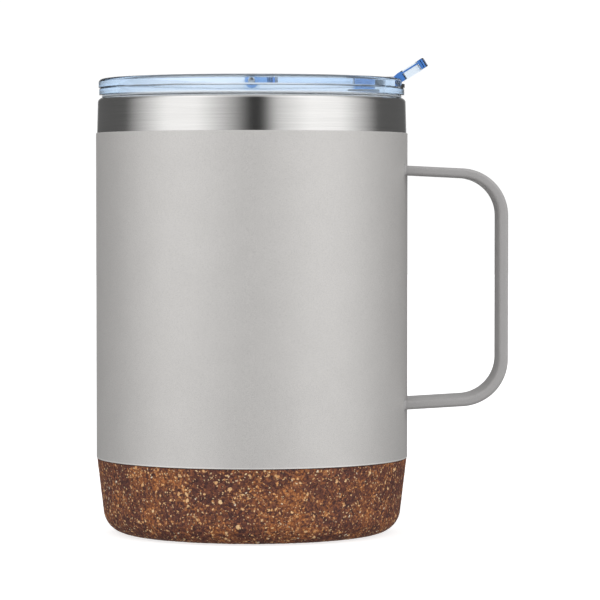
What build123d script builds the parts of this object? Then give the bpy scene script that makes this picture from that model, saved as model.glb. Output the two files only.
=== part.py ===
from build123d import *

import os

# Insulated camp mug: a double-walled steel body with a strap handle and a cork base, closed by a
# clear press-in lid whose sip hole has a flip tab. Millimetres, +Z up. The origin is on the mug's
# axis at the cork's flat underside, and the handle points along +X. Every round piece is turned
# about Z, so its outline is drawn in the XZ plane as (radius, height).

# Mug body
body_radius = 43.0  # over the powder coat
coat_thickness = 0.28
coat_edge = 0.12
shell_radius = body_radius - coat_thickness
shell_wall = 0.6
cork_height = 20.6  # where the coat ends and the cork begins
coat_top = 110.1  # where the bare steel band begins
rim_top = 119.8
band_top_radius = 42.45
lip_weld_radius = 41.0  # where the liner and the shell meet on top of the rim
outer_lip = 1.3
neck_top_radius = 40.0
neck_foot_radius = 38.5
neck_foot = 4.0
neck_corner = 5.0
shell_hole_radius = 28.0

# Liner
cup_radius = 39.6
cup_floor = 12.4
cup_floor_corner = 17.6
inner_lip = 1.2
liner_wall = 0.45

# Vacuum space
bottom_radius = 32.5
port_radius = 1.5
port_dish_radius = 6.0
port_dish_depth = 1.8
seal_radius = 3.6
seal_depth = 1.4
getter_radius = 4.5
getter_height = 2.4
getter_flange = 0.4
getter_offset = 20.0
foil_thickness = 0.12
foil_gap = 0.05
foil_bottom = 31.0
foil_top = 108.0

# Cork base
cork_top_radius = 42.85
cork_foot_radius = 40.35
cork_foot_corner = 6.5
cork_gap = 0.15
cork_seam = 0.15
glue_thickness = 0.3
glue_inner_radius = 28.5
glue_outer_radius = 33.5

# Handle
grip_width = 20.0
grip_thickness = 2.6
grip_edge = 0.9
grip_reach = 69.0  # strap centreline from the axis
grip_bend = 11.7
grip_root = 40.0  # the strap starts inside the shell and is cut back to it
grip_top_root = 99.93
grip_top_corner = 98.5
grip_low_corner = 37.1
grip_low_root = 35.35
weld_leg = 0.6

# Lid
lid_top = 125.0
flange_radius = 42.3
flange_low_radius = 42.15
flange_groove_radius = 41.9
flange_groove = 122.3
flange_bottom = 120.4
rim_inner_radius = 37.0
rim_foot_radius = 36.8
deck_top = 119.6
deck_bottom = 117.6
skirt_radius = 38.4
skirt_inner_radius = 36.6
skirt_bottom = 112.5
bead_radius = 38.9
bead_top = 113.8
notch_half_width = 9.9
notch_start = 34.0
notch_floor = 122.6
notch_outer_floor = 123.5
notch_step = 40.3
vent_radius = 1.1
vent_place = -25.0

# Sealing ring
ring_clearance = 0.1
ring_band = 0.45
ring_bottom = 113.9
ring_lip_radius = 41.3
ring_lip_bottom = 119.92
fin_radius = 39.35
fin_heights = (115.1, 116.8, 118.5)

# Flip tab, hinge and plug
hinge_height = 123.6
barrel_radius = 1.85
barrel_half_width = 4.45
ear_radius = 2.2
ear_gap = 0.25
ear_thickness = 2.0
pin_radius = 0.9
pin_clearance = 0.05
tab_bottom = 123.0
tab_top = 125.4
tab_web = 1.0
tab_rail = 1.0
tab_tongue = 4.4  # how far the narrow tongue runs from the hinge
tab_root_half_width = 7.6
tab_half_width = 9.0
tab_end_bulge = 1.1
tab_hollow_end = 40.4
paddle_start = 39.7
paddle_slope = 32
paddle_thickness = 2.7
paddle_length = 10.7
paddle_bend = 3.0  # how far the solid bend runs up the paddle
paddle_top_dish = 0.4
paddle_low_dish = 1.85
paddle_end_wall = 1.3
sip_place = 31.0
sip_length = 12.0
sip_width = 7.0
plug_play = 0.4
plug_taper = 10
plug_flange_length = 14.0
plug_flange_width = 8.6
plug_flange_gap = 0.1
plug_depth = 1.6
boss_length = 11.0
boss_width = 6.0
boss_bottom = 121.6
stud_length = 8.0
stud_width = 2.6
stud_depth = 2.1

# --- Mug body -----------------------------------------------------------------------------------

# Outer tube: necked foot for the cork, shoulder, straight wall, tapered band and rolled lip.
with BuildPart() as outer_shell:
    with BuildSketch(Plane.XZ):
        with BuildLine():
            FilletPolyline(
                (shell_hole_radius, neck_foot),
                (neck_foot_radius, neck_foot),
                (neck_top_radius, cork_height),
                (shell_radius, cork_height),
                (shell_radius, coat_top),
                (band_top_radius, rim_top),
                (lip_weld_radius, rim_top),
                (lip_weld_radius, rim_top - shell_wall),
                (band_top_radius - shell_wall, rim_top - shell_wall),
                (shell_radius - shell_wall, coat_top),
                (shell_radius - shell_wall, cork_height + shell_wall),
                (neck_top_radius - shell_wall, cork_height + shell_wall),
                (neck_foot_radius - shell_wall, neck_foot + shell_wall),
                (shell_hole_radius, neck_foot + shell_wall),
                radius=[
                    *(0, neck_corner, 0, 0, 0, outer_lip, 0),
                    *(0, outer_lip - shell_wall, 0, 0, 0, neck_corner - shell_wall, 0),
                ],
                close=True,
            )
        make_face()
    revolve(axis=Axis.Z)

# Drinking vessel, flared at the top to meet the shell.
with BuildPart() as inner_liner:
    with BuildSketch(Plane.XZ):
        with BuildLine():
            FilletPolyline(
                (0, cup_floor),
                (cup_radius, cup_floor),
                (cup_radius, rim_top),
                (lip_weld_radius, rim_top),
                (lip_weld_radius, rim_top - liner_wall),
                (cup_radius + liner_wall, rim_top - liner_wall),
                (cup_radius + liner_wall, cup_floor - liner_wall),
                (0, cup_floor - liner_wall),
                radius=[
                    *(0, cup_floor_corner, inner_lip, 0),
                    *(0, inner_lip - liner_wall, cup_floor_corner + liner_wall, 0),
                ],
                close=True,
            )
        make_face()
    revolve(axis=Axis.Z)

# Disc lapped onto the shell's foot, with a dished port through which the air is drawn out.
disc_low = neck_foot + shell_wall
disc_high = disc_low + shell_wall
with BuildPart() as shell_bottom:
    with BuildSketch(Plane.XZ):
        with BuildLine():
            Polyline(
                (port_radius, disc_low + port_dish_depth),
                (port_dish_radius, disc_low + port_dish_depth),
                (port_dish_radius + port_dish_depth, disc_low),
                (bottom_radius, disc_low),
                (bottom_radius, disc_high),
                (port_dish_radius + port_dish_depth, disc_high),
                (port_dish_radius, disc_high + port_dish_depth),
                (port_radius, disc_high + port_dish_depth),
                close=True,
            )
        make_face()
    revolve(axis=Axis.Z)

# Bead of solder glass that closes the port.
with BuildPart() as vacuum_seal:
    with BuildSketch(Plane.XZ):
        with BuildLine():
            FilletPolyline(
                (0, disc_low + port_dish_depth - seal_depth),
                (seal_radius, disc_low + port_dish_depth - seal_depth),
                (seal_radius, disc_low + port_dish_depth),
                (port_radius, disc_low + port_dish_depth),
                (port_radius, disc_high + port_dish_depth),
                (0, disc_high + port_dish_depth),
                radius=[0, seal_depth * 0.8, 0, 0, 0, 0],
                close=True,
            )
        make_face()
    revolve(axis=Axis.Z)

# Flanged can of getter metal, spot-welded to the disc inside the vacuum.
with BuildPart() as getter_capsule:
    with BuildSketch(Plane.XY.offset(disc_high)):
        with Locations((getter_offset, 0)):
            Circle(getter_radius + 1)
    extrude(amount=getter_flange)
    with BuildSketch(Plane.XY.offset(disc_high + getter_flange)):
        with Locations((getter_offset, 0)):
            Circle(getter_radius)
    extrude(amount=getter_height - getter_flange)
    fillet(getter_capsule.edges().group_by(Axis.Z)[-1], 0.6)

# Foil wrapped round the liner against radiated heat.
foil_radius = cup_radius + liner_wall + foil_gap
with BuildPart() as radiation_foil:
    with BuildSketch(Plane.XY.offset(foil_bottom)):
        Circle(foil_radius + foil_thickness)
        Circle(foil_radius, mode=Mode.SUBTRACT)
    extrude(amount=foil_top - foil_bottom)

# Strap handle, bent from flat bar and cut to the shell's curve at both ends.
with BuildPart() as handle_strap:
    with BuildLine(Plane.XZ) as grip_line:
        FilletPolyline(
            (grip_root, grip_top_root),
            (grip_reach, grip_top_corner),
            (grip_reach, grip_low_corner),
            (grip_root, grip_low_root),
            radius=grip_bend,
        )
    with BuildSketch(Plane(grip_line.line @ 0, x_dir=(0, 1, 0), z_dir=grip_line.line % 0)):
        RectangleRounded(grip_width, grip_thickness, grip_edge)
    sweep()

with BuildPart() as handle:
    add(handle_strap.part)
    with BuildSketch():
        Circle(shell_radius)
    extrude(amount=rim_top, mode=Mode.SUBTRACT)

# Bars round both strap ends, the outline of the weld beads.
top_run = Vector(grip_reach, 0, grip_top_corner) - Vector(grip_root, 0, grip_top_root)
low_run = Vector(grip_reach, 0, grip_low_corner) - Vector(grip_root, 0, grip_low_root)
with BuildPart() as weld_bars:
    for root_height, run in ((grip_top_root, top_run), (grip_low_root, low_run)):
        with BuildSketch(Plane((grip_root, 0, root_height), x_dir=(0, 1, 0), z_dir=run)):
            RectangleRounded(
                grip_width + 2 * weld_leg, grip_thickness + 2 * weld_leg, grip_edge + weld_leg
            )
        extrude(amount=grip_bend)

# Weld beads: a sloping collar at each strap end, standing on the shell.
with BuildPart() as handle_welds:
    add(weld_bars.part)
    with BuildSketch():
        Circle(body_radius + weld_leg)
    extrude(amount=rim_top, mode=Mode.INTERSECT)
    bead_tops = handle_welds.faces().filter_by(GeomType.CYLINDER).sort_by(SortBy.AREA)[-2:]
    chamfer(bead_tops.edges(), 0.8 * weld_leg)
    with BuildSketch():
        Circle(shell_radius)
    extrude(amount=rim_top, mode=Mode.SUBTRACT)
    add(handle_strap.part, mode=Mode.SUBTRACT)

# Powder coat over the straight wall, open where the strap is welded on.
with BuildPart() as powder_coat:
    with BuildSketch(Plane.XY.offset(cork_height)):
        Circle(body_radius)
        Circle(shell_radius, mode=Mode.SUBTRACT)
    extrude(amount=coat_top - cork_height)
    outer_rings = powder_coat.edges().filter_by(GeomType.CIRCLE).sort_by(SortBy.RADIUS)[-2:]
    fillet(outer_rings, coat_edge)
    add(weld_bars.part, mode=Mode.SUBTRACT)

# Pressed cork boot around the neck.
glue_top = neck_foot
cork_floor = glue_top - glue_thickness
cork_top = cork_height - cork_seam
with BuildPart() as cork_base:
    with BuildSketch(Plane.XZ):
        with BuildLine():
            FilletPolyline(
                (0, 0),
                (cork_foot_radius, 0),
                (cork_top_radius, cork_top),
                (neck_top_radius + cork_gap, cork_top),
                (neck_foot_radius + cork_gap, cork_floor),
                (0, cork_floor),
                radius=[0, cork_foot_corner, 0.3, 0, neck_corner, 0],
                close=True,
            )
        make_face()
    revolve(axis=Axis.Z)

# Ring of glue under the shell's foot.
with BuildPart() as base_adhesive:
    with BuildSketch(Plane.XY.offset(cork_floor)):
        Circle(glue_outer_radius)
        Circle(glue_inner_radius, mode=Mode.SUBTRACT)
    extrude(amount=glue_thickness)

# --- Lid ----------------------------------------------------------------------------------------

# Hinge ears stand on the deck each side of the tab's barrel.
ear_inner = barrel_half_width + ear_gap
ear_outer = ear_inner + ear_thickness

with BuildPart() as lid_body:
    with BuildSketch(Plane.XZ):
        with BuildLine():
            FilletPolyline(
                (0, deck_top),
                (rim_foot_radius, deck_top),
                (rim_inner_radius, lid_top),
                (flange_radius, lid_top),
                (flange_radius, flange_groove + 0.2),
                (flange_groove_radius, flange_groove),
                (flange_low_radius, flange_groove - 0.2),
                (flange_low_radius, flange_bottom),
                (skirt_radius, flange_bottom),
                (skirt_radius, bead_top),
                (bead_radius, bead_top - 0.2),
                (bead_radius, skirt_bottom + 0.5),
                (skirt_radius, skirt_bottom),
                (skirt_inner_radius, skirt_bottom),
                (skirt_inner_radius, deck_bottom),
                (0, deck_bottom),
                radius=[0, 0.5, 0.8, 1.1, 0.15, 0, 0.15, 0.3, 0, 0, 0, 0, 0.3, 0.4, 0.8, 0],
                close=True,
            )
        make_face()
    revolve(axis=Axis.Z)
    # Gap in the raised rim for the tab.
    with BuildSketch(Plane.XZ):
        with BuildLine():
            Polyline(
                (notch_start, notch_floor),
                (notch_step, notch_floor),
                (notch_step + 1, notch_outer_floor),
                (flange_radius + 1, notch_outer_floor),
                (flange_radius + 1, lid_top + 1),
                (notch_start, lid_top + 1),
                close=True,
            )
        make_face()
    extrude(amount=notch_half_width, both=True, mode=Mode.SUBTRACT)
    # Sip hole and vent.
    with BuildSketch(Plane.XY.offset(deck_bottom)):
        with Locations((sip_place, 0)):
            SlotOverall(sip_length, sip_width, rotation=90)
        with Locations((vent_place, 0)):
            Circle(vent_radius)
    extrude(amount=deck_top - deck_bottom, mode=Mode.SUBTRACT)
    for ear_middle in (-(ear_inner + ear_outer) / 2, (ear_inner + ear_outer) / 2):
        with BuildSketch(Plane.XZ.offset(-ear_middle)):
            with Locations((0, hinge_height)):
                Circle(ear_radius)
            with Locations((0, (hinge_height + deck_top) / 2)):
                Rectangle(2 * ear_radius, hinge_height - deck_top)
        extrude(amount=ear_thickness / 2, both=True)
    with BuildSketch(Plane.XZ):
        with Locations((0, hinge_height)):
            Circle(pin_radius)
    extrude(amount=ear_outer, both=True, mode=Mode.SUBTRACT)

with BuildPart() as hinge_pin:
    with BuildSketch(Plane.XZ):
        with Locations((0, hinge_height)):
            Circle(pin_radius)
    extrude(amount=ear_outer, both=True)
    chamfer(hinge_pin.edges().filter_by(GeomType.CIRCLE), 0.2)

# Silicone ring: a band round the skirt, three wiping fins and a lip over the steel rim.
ring_radius = skirt_radius + ring_clearance
with BuildPart() as lid_gasket:
    with BuildSketch(Plane.XZ):
        with BuildLine():
            Polyline(
                (ring_radius, ring_bottom),
                (ring_radius + ring_band, ring_bottom),
                (ring_radius + ring_band, ring_lip_bottom),
                (ring_lip_radius, ring_lip_bottom),
                (ring_lip_radius, flange_bottom - ring_clearance),
                (ring_radius, flange_bottom - ring_clearance),
                close=True,
            )
        make_face()
        for fin_height in fin_heights:
            with BuildLine():
                Polyline(
                    (ring_radius + ring_band - 0.1, fin_height - 0.45),
                    (fin_radius, fin_height - 0.05),
                    (fin_radius, fin_height + 0.3),
                    (ring_radius + ring_band - 0.1, fin_height + 0.45),
                    close=True,
                )
            make_face()
    revolve(axis=Axis.Z)

# --- Flip tab -----------------------------------------------------------------------------------

# The paddle's plane: its origin is on the underside where the paddle leaves the arm, its x runs up
# the slope and its z points out of the top.
paddle = Plane(
    origin=(paddle_start, 0, tab_bottom),
    x_dir=Vector(1, 0, 0).rotate(Axis.Y, -paddle_slope),
    z_dir=Vector(0, 0, 1).rotate(Axis.Y, -paddle_slope),
)
paddle_low_end = paddle.from_local_coords((paddle_length, 0, 0))
paddle_high_end = paddle.from_local_coords((paddle_length, 0, paddle_thickness))
paddle_high_start = paddle.from_local_coords((2.0, 0, paddle_thickness))

with BuildPart() as flip_tab:
    # Side view of arm and paddle.
    with BuildSketch(Plane.XZ):
        with BuildLine():
            FilletPolyline(
                (0, tab_bottom),
                (paddle_start, tab_bottom),
                (paddle_low_end.X, paddle_low_end.Z),
                (paddle_high_end.X, paddle_high_end.Z),
                (paddle_high_start.X, paddle_high_start.Z),
                (paddle_start - 0.8, tab_top),
                (0, tab_top),
                radius=[0, 0, 0.5, 0.9, 0.4, 0.3, 0],
                close=True,
            )
        make_face()
    extrude(amount=tab_half_width, both=True)
    # Thumb end, bowed outwards and square to the paddle.
    with BuildSketch(paddle):
        with BuildLine():
            Polyline(
                (paddle_length - tab_end_bulge, tab_half_width),
                (-2 * paddle_start, tab_half_width),
                (-2 * paddle_start, -tab_half_width),
                (paddle_length - tab_end_bulge, -tab_half_width),
            )
            ThreePointArc(
                (paddle_length - tab_end_bulge, -tab_half_width),
                (paddle_length, 0),
                (paddle_length - tab_end_bulge, tab_half_width),
            )
        make_face()
    extrude(amount=2 * paddle_start, both=True, mode=Mode.INTERSECT)
    # Seen from above: a tongue between the ears, then an arm that widens to the paddle.
    with BuildSketch():
        with BuildLine():
            FilletPolyline(
                (-1, -barrel_half_width),
                (tab_tongue, -barrel_half_width),
                (tab_tongue + 0.8, -tab_root_half_width),
                (paddle_start - 4, -tab_half_width),
                (2 * paddle_start, -tab_half_width),
                (2 * paddle_start, tab_half_width),
                (paddle_start - 4, tab_half_width),
                (tab_tongue + 0.8, tab_root_half_width),
                (tab_tongue, barrel_half_width),
                (-1, barrel_half_width),
                radius=[0, 0.3, 1.2, 2, 0, 0, 2, 1.2, 0.3, 0],
                close=True,
            )
        make_face()
    extrude(amount=2 * lid_top, mode=Mode.INTERSECT)
    # Hollow under the arm that leaves a web, two rails and solid ends.
    with BuildSketch(Plane.XY.offset(tab_bottom)):
        with BuildLine():
            FilletPolyline(
                (tab_tongue + 2, -tab_root_half_width + tab_rail),
                (tab_hollow_end, -tab_half_width + tab_rail),
                (tab_hollow_end, tab_half_width - tab_rail),
                (tab_tongue + 2, tab_root_half_width - tab_rail),
                radius=1,
                close=True,
            )
        make_face()
    extrude(amount=tab_top - tab_web - tab_bottom, mode=Mode.SUBTRACT)
    # Dished thumb pad above and relief below.
    dish_length = paddle_length - tab_end_bulge - paddle_end_wall - paddle_bend
    dish_middle = paddle_bend + dish_length / 2
    with BuildSketch(paddle.offset(paddle_thickness)):
        with Locations((dish_middle, 0)):
            RectangleRounded(dish_length, 2 * (tab_half_width - tab_rail), 0.6)
    extrude(amount=-paddle_top_dish, mode=Mode.SUBTRACT)
    with BuildSketch(paddle):
        with Locations((dish_middle, 0)):
            RectangleRounded(dish_length, 2 * (tab_half_width - tab_rail), 0.6)
    extrude(amount=paddle_low_dish, mode=Mode.SUBTRACT)
    # Boss and stud for the plug.
    with BuildSketch(Plane.XY.offset(tab_top - tab_web)):
        with Locations((sip_place, 0)):
            SlotOverall(boss_length, boss_width, rotation=90)
    extrude(amount=boss_bottom - tab_top + tab_web)
    with BuildSketch(Plane.XY.offset(boss_bottom)):
        with Locations((sip_place, 0)):
            SlotOverall(stud_length, stud_width, rotation=90)
    extrude(amount=-stud_depth)
    # Hinge barrel and its bore.
    with BuildSketch(Plane.XZ):
        with Locations((0, hinge_height)):
            Circle(barrel_radius)
    extrude(amount=barrel_half_width, both=True)
    with BuildSketch(Plane.XZ):
        with Locations((0, hinge_height)):
            Circle(pin_radius + pin_clearance)
    extrude(amount=barrel_half_width, both=True, mode=Mode.SUBTRACT)

# Silicone plug, pushed onto the stud: a flange on the deck and a tapered insert in the sip hole.
plug_flange_bottom = deck_top + plug_flange_gap
with BuildPart() as sip_plug:
    with BuildSketch(Plane.XY.offset(plug_flange_bottom)):
        with Locations((sip_place, 0)):
            SlotOverall(plug_flange_length, plug_flange_width, rotation=90)
    extrude(amount=boss_bottom - plug_flange_bottom)
    with BuildSketch(Plane.XY.offset(plug_flange_bottom)):
        with Locations((sip_place, 0)):
            SlotOverall(sip_length - 2 * plug_play, sip_width - 2 * plug_play, rotation=90)
    extrude(amount=-plug_depth, taper=plug_taper)
    with BuildSketch(Plane.XY.offset(boss_bottom)):
        with Locations((sip_place, 0)):
            SlotOverall(stud_length, stud_width, rotation=90)
    extrude(amount=-stud_depth, mode=Mode.SUBTRACT)

# --- Files --------------------------------------------------------------------------------------

pieces = {
    "outer_shell": outer_shell,
    "inner_liner": inner_liner,
    "shell_bottom": shell_bottom,
    "vacuum_seal": vacuum_seal,
    "getter_capsule": getter_capsule,
    "radiation_foil": radiation_foil,
    "powder_coat": powder_coat,
    "handle": handle,
    "handle_welds": handle_welds,
    "cork_base": cork_base,
    "base_adhesive": base_adhesive,
    "lid_body": lid_body,
    "lid_gasket": lid_gasket,
    "hinge_pin": hinge_pin,
    "flip_tab": flip_tab,
    "sip_plug": sip_plug,
}

os.makedirs("parts", exist_ok=True)
for name, piece in pieces.items():
    piece.part.label = name
    export_step(piece.part, f"parts/{name}.step")
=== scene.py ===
import math

import bmesh
import bpy
from mathutils import Matrix, Vector, noise


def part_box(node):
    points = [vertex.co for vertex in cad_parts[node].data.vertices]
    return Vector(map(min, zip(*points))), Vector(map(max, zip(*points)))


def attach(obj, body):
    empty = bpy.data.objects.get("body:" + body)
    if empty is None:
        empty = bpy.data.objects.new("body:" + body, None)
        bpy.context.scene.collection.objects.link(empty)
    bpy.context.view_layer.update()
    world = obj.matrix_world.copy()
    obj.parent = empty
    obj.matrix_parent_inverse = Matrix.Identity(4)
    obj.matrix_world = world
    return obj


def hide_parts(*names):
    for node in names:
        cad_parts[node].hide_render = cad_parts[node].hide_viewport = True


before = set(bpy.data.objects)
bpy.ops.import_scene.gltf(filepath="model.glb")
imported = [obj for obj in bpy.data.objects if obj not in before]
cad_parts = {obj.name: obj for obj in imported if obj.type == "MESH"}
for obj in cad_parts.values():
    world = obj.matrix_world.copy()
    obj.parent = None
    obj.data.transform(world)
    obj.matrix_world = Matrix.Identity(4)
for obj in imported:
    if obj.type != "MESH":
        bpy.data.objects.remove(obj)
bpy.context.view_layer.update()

# Insulated camp mug: the visible pieces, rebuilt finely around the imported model, with materials.
# Outlines are written in millimetres, as (radius, height) for turned pieces, and made in metres.
MM = 0.001
TAU = 2 * math.pi
TURN = 288  # segments round a turned piece
SMOOTH_ANGLE = 32  # degrees; edges sharper than this stay sharp
BEVEL_ANGLE = 40  # degrees; edges sharper than this are rounded
FLAT_ANGLE = 0.4  # degrees; faces within this of each other are joined


def size_mm(node):
    """Lowest and highest corner of a CAD node, in millimetres."""
    low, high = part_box(node)
    return low / MM, high / MM


# --- Sizes taken from the frame -------------------------------------------------------------------

coat_low, coat_high = size_mm("powder_coat")
shell_low, shell_high = size_mm("outer_shell")
liner_low = size_mm("inner_liner")[0]
cork_high = size_mm("cork_base")[1]
strap_high = size_mm("handle")[1]
bead_high = size_mm("handle_welds")[1]
lid_low, lid_high = size_mm("lid_body")
ring_low, ring_high = size_mm("lid_gasket")
tab_high = size_mm("flip_tab")[1]
plug_low, plug_high = size_mm("sip_plug")
pin_low, pin_high = size_mm("hinge_pin")

body_radius = coat_high.x
shell_radius = shell_high.x
rim_top = shell_high.z
coat_top = coat_high.z
coat_bottom = coat_low.z
pin_height = (pin_low.z + pin_high.z) / 2
pin_radius = (pin_high.z - pin_low.z) / 2


# --- Mesh helpers ---------------------------------------------------------------------------------


def rounded(points, radii, steps=8, closed=True):
    """The outline with an arc of that radius at each corner; 0 keeps the corner."""
    out = []
    count = len(points)
    for i, (point, radius) in enumerate(zip(points, radii)):
        corner = Vector(point)
        if radius <= 0 or (not closed and i in (0, count - 1)):
            out.append(tuple(corner))
            continue
        back = (Vector(points[i - 1]) - corner).normalized()
        ahead = (Vector(points[(i + 1) % count]) - corner).normalized()
        half = back.angle(ahead) / 2
        centre = corner + (back + ahead).normalized() * radius / math.sin(half)
        first = corner + back * radius / math.tan(half) - centre
        last = corner + ahead * radius / math.tan(half) - centre
        sweep = first.angle_signed(last)
        for k in range(steps + 1):
            turn = -sweep * k / steps
            out.append(
                (
                    centre.x + first.x * math.cos(turn) - first.y * math.sin(turn),
                    centre.y + first.x * math.sin(turn) + first.y * math.cos(turn),
                )
            )
    return out


def bridge(made, rings, closed=False):
    """Faces between each ring and the next; an open run gets end faces."""
    if closed:
        rings = rings + rings[:1]
    else:
        made.faces.new(rings[0])
        made.faces.new(rings[-1][::-1])
    count = len(rings[0])
    for ring, following in zip(rings, rings[1:]):
        for k in range(count):
            after = (k + 1) % count
            made.faces.new((ring[k], ring[after], following[after], following[k]))


def finish_mesh(name, mesh_data, smooth_angle=SMOOTH_ANGLE):
    """An object from a bmesh: outward normals, smooth faces, sharp edges kept."""
    bmesh.ops.recalc_face_normals(mesh_data, faces=mesh_data.faces)
    mesh = bpy.data.meshes.new(name)
    mesh_data.to_mesh(mesh)
    mesh_data.free()
    piece = bpy.data.objects.new(name, mesh)
    bpy.context.scene.collection.objects.link(piece)
    smooth(piece, smooth_angle)
    return piece


def smooth(piece, angle=SMOOTH_ANGLE):
    piece.data.polygons.foreach_set("use_smooth", [True] * len(piece.data.polygons))
    piece.data.set_sharp_from_angle(angle=math.radians(angle))


def lathe(name, outline, segments=TURN):
    """Turns a closed outline of (radius, height) about Z. A point on the axis is one vertex."""
    made = bmesh.new()
    rings = []
    for radius, height in outline:
        if radius < 1e-6:
            rings.append([made.verts.new((0, 0, height * MM))])
            continue
        rings.append(
            [
                made.verts.new(
                    (
                        radius * MM * math.cos(TAU * k / segments),
                        radius * MM * math.sin(TAU * k / segments),
                        height * MM,
                    )
                )
                for k in range(segments)
            ]
        )
    for i, ring in enumerate(rings):
        following = rings[(i + 1) % len(rings)]
        if len(ring) == 1 and len(following) == 1:
            continue
        for k in range(segments):
            corners = [ring[k % len(ring)], ring[(k + 1) % len(ring)]]
            corners += [following[(k + 1) % len(following)], following[k % len(following)]]
            made.faces.new(dict.fromkeys(corners))
    return finish_mesh(name, made)


def prism(name, outline, plane, depth):
    """A closed (u, v) outline in millimetres, pushed both ways by half the depth.

    plane is (origin, u, v) as millimetre vectors.
    """
    origin, along, across = plane
    normal = along.cross(across).normalized()
    made = bmesh.new()
    ends = []
    for side in (-0.5, 0.5):
        ends.append(
            [
                made.verts.new((origin + along * u + across * v + normal * depth * side) * MM)
                for u, v in outline
            ]
        )
    bridge(made, ends)
    return finish_mesh(name, made)


def combine(piece, tools, operation="DIFFERENCE"):
    """Applies a boolean of the tools to the piece and removes them."""
    bpy.context.view_layer.objects.active = piece
    for tool in tools:
        modifier = piece.modifiers.new("cut", "BOOLEAN")
        modifier.operation = operation
        modifier.solver = "EXACT"
        modifier.object = tool
        bpy.ops.object.modifier_apply(modifier=modifier.name)
        bpy.data.objects.remove(tool)


def soften(piece, width):
    """Rounds the sharp edges by a small bevel, then shades smoothly."""
    tidy = bmesh.new()
    tidy.from_mesh(piece.data)
    bmesh.ops.remove_doubles(tidy, verts=tidy.verts, dist=1e-7)
    flat = math.radians(FLAT_ANGLE)
    bmesh.ops.dissolve_limit(tidy, angle_limit=flat, verts=tidy.verts, edges=tidy.edges)
    tidy.to_mesh(piece.data)
    tidy.free()
    bpy.context.view_layer.objects.active = piece
    modifier = piece.modifiers.new("edges", "BEVEL")
    modifier.width = width * MM
    modifier.segments = 2
    modifier.limit_method = "ANGLE"
    modifier.angle_limit = math.radians(BEVEL_ANGLE)
    bpy.ops.object.modifier_apply(modifier=modifier.name)
    smooth(piece)
    weigh_normals(piece)


def weigh_normals(piece):
    """Has the large faces set the shading, so the small ones at their edges do not tilt it."""
    bpy.context.view_layer.objects.active = piece
    modifier = piece.modifiers.new("normals", "WEIGHTED_NORMAL")
    modifier.keep_sharp = True
    modifier.mode = "FACE_AREA"
    bpy.ops.object.modifier_apply(modifier=modifier.name)


def slot_outline(length, width, steps=16):
    """A slot with round ends: length runs along v, width along u."""
    radius = width / 2
    straight = length / 2 - radius
    out = []
    for start, middle in ((0, straight), (math.pi, -straight)):
        for k in range(steps + 1):
            turn = start + math.pi * k / steps
            out.append((radius * math.cos(turn), middle + radius * math.sin(turn)))
    return out


X, Y, Z = Vector((1, 0, 0)), Vector((0, 1, 0)), Vector((0, 0, 1))
ORIGIN = Vector((0, 0, 0))
SIDE = (ORIGIN, X, Z)  # side view: u is X, v is Z


# --- Material helpers -----------------------------------------------------------------------------


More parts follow.
